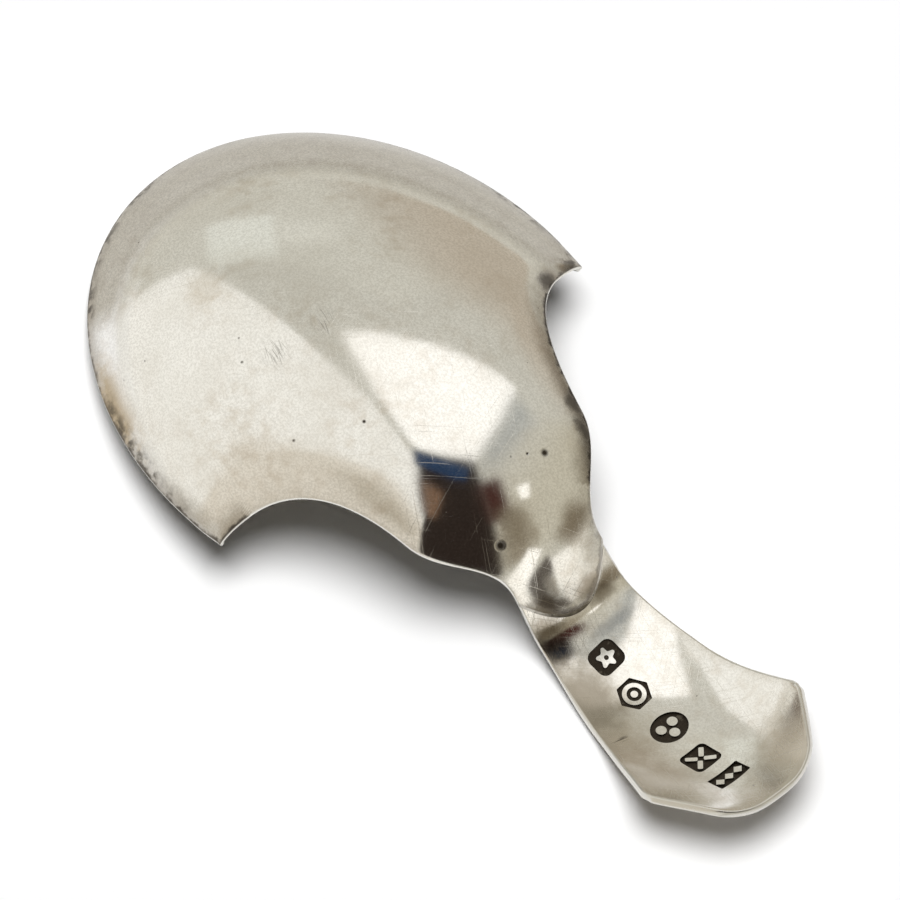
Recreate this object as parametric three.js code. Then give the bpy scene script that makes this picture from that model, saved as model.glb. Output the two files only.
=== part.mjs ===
// A sheet silver caddy spoon lying back up: a raised bowl, a flared handle and the soldered lap between them.
import * as THREE from 'three';
import { mergeVertices } from 'three/addons/utils/BufferGeometryUtils.js';

// Millimetres. Spans run along the spoon, from the front tip of the bowl to the end of the handle.
const bowlFrontSpan = 23.8; // front tip to the widest line of the rim
const cuspSpan = 4.4; // widest line to the cusps
const biteSpan = 10.3; // cusps to the shoulders, past the concave bites
const shoulderSpan = 7.3; // shoulders to the narrowest part of the neck
const bendSpan = 3.3; // narrowest part of the neck to the bend
const restSpan = 6.2; // bend to the place where the handle rests
const flareSpan = 8.4; // resting place to the corners of the handle
const clipSpan = 6.3; // corners to the end of the handle

// Half widths, measured from the centre line.
const bowlHalfWidth = 17.8;
const biteHalfWidth = 10.7; // how far in the bites pull the outline
const shoulderHalfWidth = 8.5;
const neckHalfWidth = 4.1;
const cornerHalfWidth = 7.2;
const endHalfWidth = 3.3;
const endRound = 2.1; // rounding of the two corners at the end

// Heights of the back surface above the table.
const crestHeight = 13.3; // top of the bowl
const biteHeight = 11.9; // pull of the bite's edge
const shoulderHeight = 9.1; // edge of the sheet at the shoulders
const bendHeight = 2.6;
const endHeight = 6;
const rimTilt = 9.9; // degrees, from the table to the plane of the front rim
const crestSpan = 27.5; // front tip to the top of the bowl
const bowlRoundness = 0.75; // 0 is a parabola, 1 is an ellipse with upright sides

// Reach of the tangents that shape the curves.
const biteReach = 0.3; // from the cusps back towards the tip
const shoulderReach = 3.2;
const neckReach = 2.7;
const heelReach = 16.8;
const bendReach = 2.9;
const bendExit = 1.1;
const bendSlope = 0.5; // fall at the bend, per unit of length
const restEntry = 2.2;
const restExit = 3.1;
const endReach = 4.5;
const flareReach = 2.7;
const cornerReach = 5.8;
const cornerSlope = 0.35;

// Cross sections: a crowned neck and a handle whose back is slightly dished.
const neckCrown = 0.67;
const handleDish = 0.35;

// Sheet and lap joint.
const sheet = 0.6;
const feather = 0.25; // thickness left at the tip of each scarf
const solderFilm = 0.1;
const lapSpan = 2.9; // root of the handle to the narrowest part of the neck
const tongueOverlap = 2.6; // narrowest part of the neck to the tip of the tongue
const tongueRound = 2.4; // how far the tongue's tip stands past its sides
const filletRun = 0.5;
const filletTop = 0.08; // how far below the back of the tongue the fillet starts
const wear = 0.08; // depth worn flat where the spoon touches the table

// Facets.
const columnsPerSide = 8;
const rimSteps = 16;
const biteSteps = 8;
const shoulderSteps = 7;
const lapSteps = 6;
const flareSteps = 13;
const clipSteps = 4;
const roundSteps = 5;
const spineSteps = 48;
const rowLean = 4.4; // how far the rows of facets lean towards the tip at full width
const weldDistance = 1e-4;
const leastFacet = 1e-7;

// Stations along the spoon.
const cuspAt = bowlFrontSpan + cuspSpan;
const shoulderAt = cuspAt + biteSpan;
const neckAt = shoulderAt + shoulderSpan;
const bendAt = neckAt + bendSpan;
const restAt = bendAt + restSpan;
const cornerAt = restAt + flareSpan;
const length = cornerAt + clipSpan;
const rootAt = neckAt - lapSpan;
const tongueTipAt = neckAt + tongueOverlap;

// Depth of the handle's front below the back surface that both sheets share.
const stack = sheet + solderFilm + feather;

// Rise of a round cap from its rim (across = 1) to its middle (across = 0), as a share of its depth.
const flatness = Math.sqrt(1 - bowlRoundness);
const capDrop = (across) => (1 - Math.sqrt(1 - bowlRoundness * across * across)) / (1 - flatness);
const capRimSlope = bowlRoundness / flatness / (1 - flatness);

const mix = (a, b, share) => a + (b - a) * share;
const ease = (value, from, to) => THREE.MathUtils.smoothstep(value, from, to);

// The two places that touch the table: the front tip's lower edge and the middle of the handle.
const tipSlope = Math.atan((crestHeight / crestSpan) * capRimSlope);
const tipHeight = sheet * Math.cos(tipSlope) - wear;
const restHeight = stack - wear;

// Spine: the centre line of the back, as points of (station, height).
const at = (station, height) => new THREE.Vector2(station, height);
const frontPoints = Array.from({ length: spineSteps }, (_, i) => {
  const station = crestSpan * (1 - Math.cos((i / spineSteps) * (Math.PI / 2)));
  return at(station, mix(crestHeight, tipHeight, capDrop(1 - station / crestSpan)));
});
const heel = new THREE.CubicBezierCurve(
  at(crestSpan, crestHeight),
  at(crestSpan + heelReach, crestHeight),
  at(bendAt - bendReach, bendHeight + bendSlope * bendReach),
  at(bendAt, bendHeight),
);
const instep = new THREE.CubicBezierCurve(
  at(bendAt, bendHeight),
  at(bendAt + bendExit, bendHeight - bendSlope * bendExit),
  at(restAt - restEntry, restHeight),
  at(restAt, restHeight),
);
const blade = new THREE.CubicBezierCurve(
  at(restAt, restHeight),
  at(restAt + restExit, restHeight),
  at(length - endReach, endHeight),
  at(length, endHeight),
);
const spine = [frontPoints, ...[heel, instep, blade].map((curve) => curve.getPoints(spineSteps))].flat();

// Height on a line of (station, height) points at a station.
function heightOn(points, station) {
  const next = Math.max(1, points.findIndex((point) => point.x >= station));
  const [a, b] = [points[next - 1], points[next]];
  return mix(a.y, b.y, (station - a.x) / Math.max(b.x - a.x, leastFacet));
}
const spineHeight = (station) => heightOn(spine, Math.min(station, length));

// Curve across the neck and the handle: the fall from the centre line is curvature times y squared.
const neckCurvature = neckCrown / neckHalfWidth ** 2;
const handleCurvature = -handleDish / cornerHalfWidth ** 2;
const curvature = (station) => mix(neckCurvature, handleCurvature, ease(station, neckAt, restAt));
const archHeight = (station, y) => spineHeight(station) - curvature(station) * y * y;

// Edge of the sheet on the +Y side, as points of (station, half width, height).
const rimHeight = (station) => tipHeight + station * Math.tan(THREE.MathUtils.degToRad(rimTilt));
const cuspAngle = Math.acos(1 - cuspAt / bowlFrontSpan);
const rimPoint = (angle) => {
  const station = bowlFrontSpan * (1 - Math.cos(angle));
  return new THREE.Vector3(station, bowlHalfWidth * Math.sin(angle), rimHeight(station));
};
const rimEdge = Array.from({ length: rimSteps + 1 }, (_, i) => rimPoint((cuspAngle * i) / rimSteps));

const bitePull = new THREE.Vector3(cuspAt - biteReach, biteHalfWidth, biteHeight);
const shoulder = new THREE.Vector3(shoulderAt, shoulderHalfWidth, shoulderHeight);
const biteCurve = new THREE.QuadraticBezierCurve3(rimEdge[rimSteps], bitePull, shoulder);
const biteEdge = biteCurve.getPoints(biteSteps);

const neck = new THREE.Vector3(neckAt, neckHalfWidth, archHeight(neckAt, neckHalfWidth));
const neckFall = spineHeight(neckAt + neckReach / 2) - spineHeight(neckAt - neckReach / 2);
const biteExit = shoulder.clone().sub(bitePull);
const shoulderCurve = new THREE.CubicBezierCurve3(
  shoulder,
  shoulder.clone().addScaledVector(biteExit, shoulderReach / biteExit.x),
  neck.clone().sub(new THREE.Vector3(neckReach, 0, neckFall)),
  neck,
);
const shoulderLine = shoulderCurve.getPoints(spineSteps);

const flareCurve = new THREE.CubicBezierCurve(
  at(neckAt, neckHalfWidth),
  at(neckAt + flareReach, neckHalfWidth),
  at(cornerAt - cornerReach, cornerHalfWidth - cornerSlope * cornerReach),
  at(cornerAt, cornerHalfWidth),
);
const flareLine = flareCurve.getPoints(spineSteps);

// Half width and edge height at a station between the shoulders and the corners.
const shoulderWidths = shoulderLine.map((point) => at(point.x, point.y));
const shoulderHeights = shoulderLine.map((point) => at(point.x, point.z));
function edgeAt(station) {
  if (station < neckAt) {
    const halfWidth = heightOn(shoulderWidths, station);
    return new THREE.Vector3(station, halfWidth, heightOn(shoulderHeights, station));
  }
  const halfWidth = heightOn(flareLine, station);
  return new THREE.Vector3(station, halfWidth, archHeight(station, halfWidth));
}

// Clipped end: a straight side from the corner, a round, and the flat tip.
const corner = at(cornerAt, cornerHalfWidth);
const endCorner = at(length, endHalfWidth);
const roundStart = endCorner.clone().add(corner.clone().sub(endCorner).setLength(endRound));
const roundEnd = at(length, Math.max(endHalfWidth - endRound, sheet));
const clipPoint = (_, i) => corner.clone().lerp(roundStart, i / clipSteps);
const clipPoints = Array.from({ length: clipSteps }, clipPoint);
const roundPoints = new THREE.QuadraticBezierCurve(roundStart, endCorner, roundEnd).getPoints(roundSteps);
const onArch = ({ x, y }) => new THREE.Vector3(x, y, archHeight(x, y));
const endEdge = [...clipPoints, ...roundPoints].map(onArch);

// Rows of facets across the spoon. A row's ends lie on the edge, and its middle leans along the spoon.
const leaningRow = (edge) => ({ edge, lean: -rowLean * (edge.y / bowlHalfWidth) ** 2 });
const stationsBetween = (from, to, steps) => {
  const step = (_, i) => mix(from, to, i / steps);
  return Array.from({ length: steps }, step);
};

const bowlRows = [
  ...rimEdge,
  ...biteEdge.slice(1, -1),
  ...stationsBetween(shoulderAt, rootAt, shoulderSteps).map(edgeAt),
].map(leaningRow);

const rootRow = leaningRow(edgeAt(rootAt));
const tongueSideAt = tongueTipAt - tongueRound;
const lapRows = Array.from({ length: lapSteps + 1 }, (_, i) => ({
  edge: edgeAt(mix(rootAt, tongueSideAt, i / lapSteps)),
  lean: mix(rootRow.lean, tongueRound, i / lapSteps),
  scarf: i / lapSteps,
}));

const filletRow = { edge: edgeAt(tongueSideAt + filletRun), lean: tongueRound };
const fadingLean = (station) => tongueRound * (1 - ease(station, tongueSideAt, restAt));
const handleRows = [
  ...stationsBetween(tongueSideAt + filletRun, cornerAt, flareSteps)
    .slice(1)
    .map((station) => ({ edge: edgeAt(station), lean: fadingLean(station) })),
  ...endEdge.map((edge) => ({ edge, lean: 0 })),
];

const rows = [...bowlRows, ...lapRows, filletRow, ...handleRows];
const lapFirst = bowlRows.length;
const lapLast = lapFirst + lapSteps;
const filletAt = lapLast + 1;
const rowsEnd = rows.length - 1;

// The back surface on its rows and columns: a lofted cap on the bowl that turns into the arch of the neck.
const columns = Array.from({ length: 2 * columnsPerSide + 1 }, (_, i) => i / columnsPerSide - 1);
function backPoint({ edge, lean }, across) {
  const station = edge.x + lean * (1 - across * across);
  const y = edge.y * across;
  const cap = mix(spineHeight(edge.x + lean), edge.z, capDrop(across));
  const arch = archHeight(station, y);
  const height = mix(cap, arch, ease(edge.x, shoulderAt, neckAt));
  return new THREE.Vector3(station - length / 2, y, height);
}
const back = rows.map((row) => columns.map((across) => backPoint(row, across)));

// Unit directions from the back into the sheet.
function inwardAt(row, column) {
  const clampRow = (i) => back[Math.min(Math.max(i, 0), rowsEnd)];
  const clampColumn = (j) => Math.min(Math.max(j, 0), columns.length - 1);
  const along = clampRow(row + 1)[column].clone().sub(clampRow(row - 1)[column]);
  const span = row === 0 ? back[1] : back[row];
  const over = span[clampColumn(column + 1)].clone().sub(span[clampColumn(column - 1)]);
  return over.cross(along).normalize();
}
const inward = back.map((points, row) => points.map((_, column) => inwardAt(row, column)));
const middle = columnsPerSide;

// One row of points at a depth below the back, never below the table.
function layer(row, depth) {
  return back[row].map((point, column) => {
    const direction = row === 0 ? inward[0][middle] : inward[row][column];
    const inside = point.clone().addScaledVector(direction, depth);
    inside.z = Math.max(inside.z, 0);
    return inside;
  });
}

// Closed solid between an upper and a lower grid of points, with walls round its edge.
function sheetSolid(upper, lower) {
  const triangles = [];
  const quad = (a, b, c, d) => triangles.push([a, b, c], [a, c, d]);
  const last = columns.length - 1;
  for (let i = 0; i + 1 < upper.length; i += 1) {
    for (let j = 0; j < last; j += 1) {
      quad(upper[i][j], upper[i + 1][j], upper[i + 1][j + 1], upper[i][j + 1]);
      quad(lower[i][j], lower[i][j + 1], lower[i + 1][j + 1], lower[i + 1][j]);
    }
    quad(upper[i][0], lower[i][0], lower[i + 1][0], upper[i + 1][0]);
    quad(upper[i][last], upper[i + 1][last], lower[i + 1][last], lower[i][last]);
  }
  const end = upper.length - 1;
  for (let j = 0; j < last; j += 1) {
    quad(upper[0][j + 1], lower[0][j + 1], lower[0][j], upper[0][j]);
    quad(upper[end][j], lower[end][j], lower[end][j + 1], upper[end][j + 1]);
  }
  const isFacet = ([a, b, c]) => b.clone().sub(a).cross(c.clone().sub(a)).length() > leastFacet;
  const positions = triangles.filter(isFacet).flat().flatMap((point) => point.toArray());
  const geometry = new THREE.BufferGeometry();
  geometry.setAttribute('position', new THREE.Float32BufferAttribute(positions, 3));
  const solid = mergeVertices(geometry, weldDistance);
  solid.computeVertexNormals();
  return solid;
}

// Thickness of the tongue, which thins from the full sheet to a feather across the lap.
const tongueThickness = (row) => mix(sheet, feather, rows[row].scarf ?? 0);
const layers = (first, last, depth) => {
  const count = last - first + 1;
  return Array.from({ length: count }, (_, i) => layer(first + i, depth(first + i)));
};

function bowlGeometry() {
  return sheetSolid(layers(0, lapLast, () => 0), layers(0, lapLast, tongueThickness));
}

function solderGeometry() {
  const underTongue = layers(lapFirst, lapLast, tongueThickness);
  const overRoot = layers(lapFirst, lapLast, (row) => tongueThickness(row) + solderFilm);
  const filletHead = layer(lapLast, filletTop);
  const filletToe = layer(filletAt, feather + solderFilm);
  return sheetSolid([...underTongue, filletHead], [...overRoot, filletToe]);
}

function handleGeometry() {
  const depth = (row) => solderFilm + (row > lapLast ? feather : tongueThickness(row));
  return sheetSolid(layers(lapFirst, rowsEnd, depth), layers(lapFirst, rowsEnd, () => stack));
}

function piece(name, geometry, color, roughness) {
  const material = new THREE.MeshStandardMaterial({ color, roughness, metalness: 1 });
  const mesh = new THREE.Mesh(geometry, material);
  mesh.name = name;
  return mesh;
}

const spoon = new THREE.Group();
spoon.name = 'caddy_spoon';
spoon.add(piece('bowl', bowlGeometry(), 0xcfc9bd, 0.2));
spoon.add(piece('handle', handleGeometry(), 0xd8d3c8, 0.22));
spoon.add(piece('solder_seam', solderGeometry(), 0xb8b1a2, 0.35));

export default spoon;
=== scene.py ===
"""A small caddy spoon of sheet silver, lying back up on a white table."""

import math
from functools import partial

import bpy
import numpy as np
from mathutils import Matrix, Vector


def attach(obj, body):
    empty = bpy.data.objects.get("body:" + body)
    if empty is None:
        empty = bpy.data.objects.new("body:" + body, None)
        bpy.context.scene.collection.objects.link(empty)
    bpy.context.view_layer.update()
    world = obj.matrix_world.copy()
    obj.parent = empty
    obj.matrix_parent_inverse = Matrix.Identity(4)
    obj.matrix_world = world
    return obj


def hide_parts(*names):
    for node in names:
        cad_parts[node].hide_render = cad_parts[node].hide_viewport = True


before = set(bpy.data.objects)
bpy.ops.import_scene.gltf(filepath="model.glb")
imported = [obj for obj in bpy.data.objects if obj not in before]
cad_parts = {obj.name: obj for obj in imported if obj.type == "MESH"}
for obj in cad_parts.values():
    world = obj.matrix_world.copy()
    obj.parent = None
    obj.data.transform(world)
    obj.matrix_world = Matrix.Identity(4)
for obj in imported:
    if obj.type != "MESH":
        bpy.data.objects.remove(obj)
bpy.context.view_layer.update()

# Sizes are in millimetres, as on the solids, and become metres when a mesh is made.
MM = 0.001

# Spans along the spoon, from the front tip of the bowl to the end of the handle.
bowl_front_span = 23.8
cusp_span = 4.4
bite_span = 10.3
shoulder_span = 7.3
bend_span = 3.3
rest_span = 6.2
flare_span = 8.4
clip_span = 6.3

# Half widths from the centre line.
bowl_half_width = 17.8
bite_half_width = 10.7
shoulder_half_width = 8.5
neck_half_width = 4.1
corner_half_width = 7.2
end_half_width = 3.3
end_round = 2.1

# Heights of the back above the table.
crest_height = 13.298
bite_height = 11.9
shoulder_height = 9.1
bend_height = 2.6
end_height = 6
rim_tilt = math.radians(9.9)
crest_span = 27.5
bowl_roundness = 0.75

# Reach of the tangents that shape the curves.
bite_reach = 0.3
shoulder_reach = 3.2
neck_reach = 2.7
heel_reach = 16.8
bend_reach = 2.9
bend_exit = 1.1
bend_slope = 0.5
rest_entry = 2.2
rest_exit = 4.4
end_reach = 4.5
flare_reach = 2.7
corner_reach = 5.8
corner_slope = 0.35

# Cross sections, sheet and lap joint.
neck_crown = 0.67
handle_dish = 1.1
handle_lean = 0.15  # how far the end of the handle is bent out of true
end_tuck = 0.4  # how far the end of the handle is drawn in
handle_roll = 0.05  # sideways slope of the handle, with its left edge up
hollow_end_half_width = 3.4
hollow_spill = 0.05  # share of the hollow's depth that its curve goes on to outside the edges
hollow_margin = 4  # how far past both ends of the handle this width is worked out
hollow_steps = 400  # steps along the handle in which the hollow's width is worked out
hollow_window = 88  # steps that this width is smoothed over
sheet = 0.6
feather = 0.25
solder_film = 0.1
lap_span = 2.9
tongue_overlap = 2.6
tongue_round = 2.4
wear = 0.08
flank_press = 0.4  # depth that the sheet is pressed in along the bites
flank_reach = 3.4
flank_gap = 0.3  # how near to the cusp the pressing starts
flank_fade = (0.35, 0.95)  # share of the bite over which it ends
toe_step = 0.07  # step that is left where the tongue tapers out on the handle
edge_round = 0.16  # rounding of the sheet's cut edges
edge_round_share = 0.42  # most of the thickness that one rounding takes
solder_round = 0.02
solder_cover = 0.01  # depth of the solder under the tip of the tongue
crisp_angle = math.radians(40)  # edges sharper than this stay crisp
row_lean = 4.4

# Camera at the photograph's angle, far off with a long lens.
camera_azimuth = math.radians(49.34)
camera_elevation = math.radians(64.02)
camera_distance = 0.9
pixels_per_mm = 13.65
image_width = 900
aim_height = 4 * MM
aim_right = -0.967 * MM
aim_up = 1.934 * MM

camera_back = Vector(
    (
        math.sin(camera_azimuth) * math.cos(camera_elevation),
        -math.cos(camera_azimuth) * math.cos(camera_elevation),
        math.sin(camera_elevation),
    )
)
camera_right = Vector((math.cos(camera_azimuth), math.sin(camera_azimuth), 0))
camera_up = camera_back.cross(camera_right)

# Grid steps of the fine meshes.
columns_per_side = 60
front_rows = 72
bite_rows = 46
shoulder_rows = 34
lap_rows = 18
flare_rows = 48
end_rows = 40
curve_steps = 600
crease_rows = 22  # rows over which the crease across the cusps is softened
crease_rounds = 60
crease_fade = (0.5, 0.97)  # share of the half width over which this fades out
front_corner = math.radians(48)  # where the front patch of the bowl has its corners on the rim
end_patch_at = 57.5  # station where the handle's rows start to bend round its clipped end

# Stations along the spoon.
cusp_at = bowl_front_span + cusp_span
shoulder_at = cusp_at + bite_span
neck_at = shoulder_at + shoulder_span
bend_at = neck_at + bend_span
rest_at = bend_at + rest_span
corner_at = rest_at + flare_span
length = corner_at + clip_span
root_at = neck_at - lap_span
tongue_side_at = neck_at + tongue_overlap - tongue_round
lean_at = rest_at - 3
roll_at = rest_at - 1
twist_at = rest_at + 3
tuck_at = rest_at + 4
stack = sheet + solder_film + feather


def mix(a, b, share):
    return a + (b - a) * share


def ease(value, start, end):
    share = np.clip((value - start) / (end - start), 0, 1)
    return share * share * (3 - 2 * share)


def unit(vectors):
    return vectors / np.linalg.norm(vectors, axis=-1, keepdims=True)


def bezier(points, shares):
    """Points of a Bezier curve of any degree, one row for each share."""
    points = [np.asarray(point, float)[None] for point in points]
    shares = np.asarray(shares, float)[:, None]
    while len(points) > 1:
        points = [mix(a, b, shares) for a, b in zip(points, points[1:])]
    return points[0]


# Profile of the back: the spine along the middle, and how the bowl and the neck fall away from it.
flatness = math.sqrt(1 - bowl_roundness)


def cap_drop(across):
    return (1 - np.sqrt(1 - bowl_roundness * across**2)) / (1 - flatness)


tip_slope = math.atan(crest_height / crest_span * bowl_roundness / flatness / (1 - flatness))
tip_height = sheet * math.cos(tip_slope) - wear
rest_height = stack - wear
curve_shares = np.linspace(0, 1, curve_steps + 1)


def spine_line():
    stations = crest_span * (1 - np.cos(curve_shares[:-1] * math.pi / 2))
    heights = mix(crest_height, tip_height, cap_drop(1 - stations / crest_span))
    bend = (bend_at, bend_height)
    rest = (rest_at, rest_height)
    heel = [
        (crest_span, crest_height),
        (crest_span + heel_reach, crest_height),
        (bend_at - bend_reach, bend_height + bend_slope * bend_reach),
        bend,
    ]
    instep = [
        bend,
        (bend_at + bend_exit, bend_height - bend_slope * bend_exit),
        (rest_at - rest_entry, rest_height),
        rest,
    ]
    blade = [
        rest,
        (rest_at + rest_exit, rest_height),
        (length - end_reach, end_height),
        (length, end_height),
    ]
    front = np.stack([stations, heights], -1)
    return np.concatenate([front, *(bezier(curve, curve_shares) for curve in (heel, instep, blade))])


spine = spine_line()


def spine_height(station):
    return np.interp(station, spine[:, 0], spine[:, 1])


def arch_height(station, y):
    neck_curve = neck_crown / neck_half_width**2
    handle_curve = -handle_dish / corner_half_width**2
    curve = mix(neck_curve, handle_curve, ease(station, neck_at, rest_at))
    return spine_height(station) - curve * y**2


def rim_height(station):
    return tip_height + station * math.tan(rim_tilt)


# Edge of the sheet on the +Y side, as (station, half width, height).
def rim_plan(angle):
    return np.stack([bowl_front_span * (1 - np.cos(angle)), bowl_half_width * np.sin(angle)], -1)


cusp_angle = math.acos(1 - cusp_at / bowl_front_span)
cusp = np.array([*rim_plan(cusp_angle), rim_height(cusp_at)])
bite_pull = np.array([cusp_at - bite_reach, bite_half_width, bite_height])
shoulder = np.array([shoulder_at, shoulder_half_width, shoulder_height])
neck = np.array([neck_at, neck_half_width, arch_height(neck_at, neck_half_width)])
neck_fall = spine_height(neck_at + neck_reach / 2) - spine_height(neck_at - neck_reach / 2)
bite_exit = shoulder - bite_pull
shoulder_pull = shoulder + bite_exit * shoulder_reach / bite_exit[0]
neck_pull = neck - np.array([neck_reach, 0, neck_fall])
shoulder_line = bezier([shoulder, shoulder_pull, neck_pull, neck], curve_shares)
flare_line = bezier(
    [
        (neck_at, neck_half_width),
        (neck_at + flare_reach, neck_half_width),
        (corner_at - corner_reach, corner_half_width - corner_slope * corner_reach),
        (corner_at, corner_half_width),
    ],
    curve_shares,
)


def edge_at(station):
    """Edge points at stations between the shoulders and the corners of the handle."""
    on_bowl = station < neck_at
    on_shoulder = np.interp(station, shoulder_line[:, 0], shoulder_line[:, 1])
    on_flare = np.interp(station, flare_line[:, 0], flare_line[:, 1])
    y = np.where(on_bowl, on_shoulder, on_flare)
    shoulder_z = np.interp(station, shoulder_line[:, 0], shoulder_line[:, 2])
    return np.stack([station, y, np.where(on_bowl, shoulder_z, arch_height(station, y))], -1)


def end_outline(count):
    """The clipped end of the handle from corner to corner, as evenly spaced plan points."""
    corner = np.array([corner_at, corner_half_width])
    end_corner = np.array([length, end_half_width])
    round_start = end_corner + unit(corner - end_corner) * end_round
    round_end = np.array([length, end_half_width - end_round])
    half = np.concatenate([[corner], bezier([round_start, end_corner, round_end], curve_shares)])
    line = np.concatenate([half * (1, -1), half[::-1]])
    travel = np.concatenate([[0], np.cumsum(np.linalg.norm(np.diff(line, axis=0), axis=1))])
    even = np.linspace(0, travel[-1], count)
    return np.stack([np.interp(even, travel, line[:, k]) for k in range(2)], -1)


# The back surface, as grids of (station, y, height): rows run along the spoon and columns across it.
across = np.linspace(-1, 1, 2 * columns_per_side + 1)


def lofted_rows(edge, lean):
    """Rows from edge to edge, a round cap on the bowl that turns into the arch of the neck."""
    edge_station, edge_y, edge_height = (edge[:, k, None] for k in range(3))
    lean = lean[:, None]
    station = edge_station + lean * (1 - across**2)
    y = edge_y * across
    cap = mix(spine_height(edge_station + lean), edge_height, cap_drop(across))
    height = mix(cap, arch_height(station, y), ease(edge_station, shoulder_at, neck_at))
    return np.stack([station, y, height], -1)


def bowl_lean(half_width):
    return -row_lean * (half_width / bowl_half_width) ** 2


def front_height(station, y):
    """Height of the bowl ahead of the cusps at any plan point, on the same leaning rows as the rest."""
    room = row_lean * (1 - (y / bowl_half_width) ** 2) + station - bowl_front_span
    root = np.sqrt(bowl_front_span**2 + 4 * row_lean * room)
    cosine = (bowl_front_span - root) / (2 * row_lean)
    sine = np.sqrt(np.maximum(1 - cosine**2, 1e-12))
    row = bowl_front_span * (1 - cosine)
    share = np.minimum(np.abs(y) / (bowl_half_width * sine), 1)
    return mix(spine_height(row - row_lean * sine**2), rim_height(row), cap_drop(share))


def patch(first, last, side, height):
    """A grid of plan points between its first row, its last row and two mirrored sides, then raised."""
    left = (side * (1, -1))[:, None]
    right = side[:, None]
    over = np.linspace(0, 1, len(first))[None, :, None]
    along = np.linspace(0, 1, len(side))[:, None, None]
    corners = mix(mix(first[0], first[-1], over), mix(last[0], last[-1], over), along)
    plan = mix(first[None], last[None], along) + mix(left, right, over) - corners
    return np.concatenate([plan, height(plan[..., 0], plan[..., 1])[..., None]], -1)


def steps_after(start, end, count):
    return np.linspace(start, end, count + 1)[1:]


def hollow_depth(station, y):
    """How far the middle of the handle lies below its edges, between the rest and the end."""
    stations = np.linspace(rest_at - hollow_margin, length + hollow_margin, hollow_steps)
    widths = np.interp(stations, [*flare_line[:, 0], length], [*flare_line[:, 1], hollow_end_half_width])
    window = np.hanning(hollow_window)
    padding = hollow_window // 2
    padded = np.pad(widths, padding, "edge")
    widths = np.convolve(padded, window / window.sum(), "same")[padding:-padding]
    outward = y / np.interp(station, stations, widths)
    along = np.clip((station - rest_at) / (length - rest_at), 0, 1)
    even_curve = mix(rest_height, end_height, along**2)
    depth = np.where(along > 0, spine_height(station) - even_curve, 0)
    return depth * np.clip(1 - outward**2, -hollow_spill, 1)


def bend_handle(handle):
    """Sinks the middle of the handle to one even curve, rolls it and bends its end out of true, in place."""
    station, y, height = (handle[..., k] for k in range(3))
    height -= hollow_depth(station, y)
    height -= handle_roll * y * ease(station, roll_at, tuck_at)
    left = np.clip(-y / corner_half_width, 0, 1) * ease(station, twist_at, corner_at)
    lean = handle_lean * ease(station, lean_at, corner_at) * (1 + left)
    station -= lean + end_tuck * ease(station, tuck_at, length)
    y += lean


def back_grids():
    """The back of the bowl, of the lap and of the handle."""
    cusp_lean = bowl_lean(cusp[1])
    cusp_row = np.stack([cusp_at + cusp_lean * (1 - across**2), cusp[1] * across], -1)
    rim_side = rim_plan(np.linspace(front_corner, cusp_angle, front_rows + 1))
    front = patch(rim_plan(front_corner * across), cusp_row, rim_side, front_height)

    bite = bezier([cusp, bite_pull, shoulder], steps_after(0, 1, bite_rows))
    edges = np.concatenate([bite, edge_at(steps_after(shoulder_at, root_at, shoulder_rows))])
    bowl = np.concatenate([front, lofted_rows(edges, bowl_lean(edges[:, 1]))])

    share = np.linspace(0, 1, lap_rows + 1)
    lap_lean = mix(bowl_lean(edges[-1, 1]), tongue_round, share)
    lap = lofted_rows(edge_at(mix(root_at, tongue_side_at, share)), lap_lean)

    stations = steps_after(tongue_side_at, end_patch_at, flare_rows)
    fading_lean = tongue_round * (1 - ease(stations, tongue_side_at, rest_at))
    flare = lofted_rows(edge_at(stations), fading_lean)
    side = edge_at(np.linspace(end_patch_at, corner_at, end_rows + 1))[:, :2]
    end = patch(flare[-1, :, :2], end_outline(len(across)), side, arch_height)
    handle = np.concatenate([flare, end[1:]])
    bend_handle(handle)
    return bowl, lap, handle


def inward_normals(grid):
    """Unit directions from the back into the sheet, from the faces round each point."""
    faces = np.cross(grid[:-1, 1:] - grid[1:, :-1], grid[1:, 1:] - grid[:-1, :-1])
    total = np.zeros_like(grid)
    for rows in (slice(None, -1), slice(1, None)):
        for columns in (slice(None, -1), slice(1, None)):
            total[rows, columns] += faces
    return unit(total)


def soften_crease(grid, row, reach, rounds):
    """Smooths the crease along one row, away from the edges of the sheet."""
    strength = 1 - ease(np.abs(across), *crease_fade)[None, :, None]
    near = np.arange(len(grid))
    window = 1 - ease(np.abs(near - row), reach * 0.4, reach)[:, None, None]
    share = (strength * window)[1:-1] * 0.5
    for _ in range(rounds):
        middle = (grid[2:] + grid[:-2]) / 2 - grid[1:-1]
        grid[1:-1] += middle * share


def rim_loop(rows, columns):
    """Grid indices round the edge of a sheet."""
    first = [(0, j) for j in range(columns)]
    right = [(i, columns - 1) for i in range(1, rows)]
    last = [(rows - 1, j) for j in range(columns - 2, -1, -1)]
    left = [(i, 0) for i in range(rows - 2, 0, -1)]
    return tuple(np.array(first + right + last + left).T)


inset_falloff = (1, 0.62, 0.34, 0.14, 0.04)
round_steps = 3


def inset_edges(grid, push):
    """Draws the edge of a grid in by push, which fades over the next rows and columns."""
    rows, columns = grid.shape[:2]
    loop = rim_loop(rows, columns)
    at_edge = np.zeros_like(grid)
    at_edge[loop] = push
    moved = np.zeros_like(grid)
    for k, share in enumerate(inset_falloff):
        moved[1:-1, k] += at_edge[1:-1, 0] * share
        moved[1:-1, -1 - k] += at_edge[1:-1, -1] * share
        moved[k, 1:-1] += at_edge[0, 1:-1] * share
        moved[-1 - k, 1:-1] += at_edge[-1, 1:-1] * share
    moved[loop] = push
    return grid + moved


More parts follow.
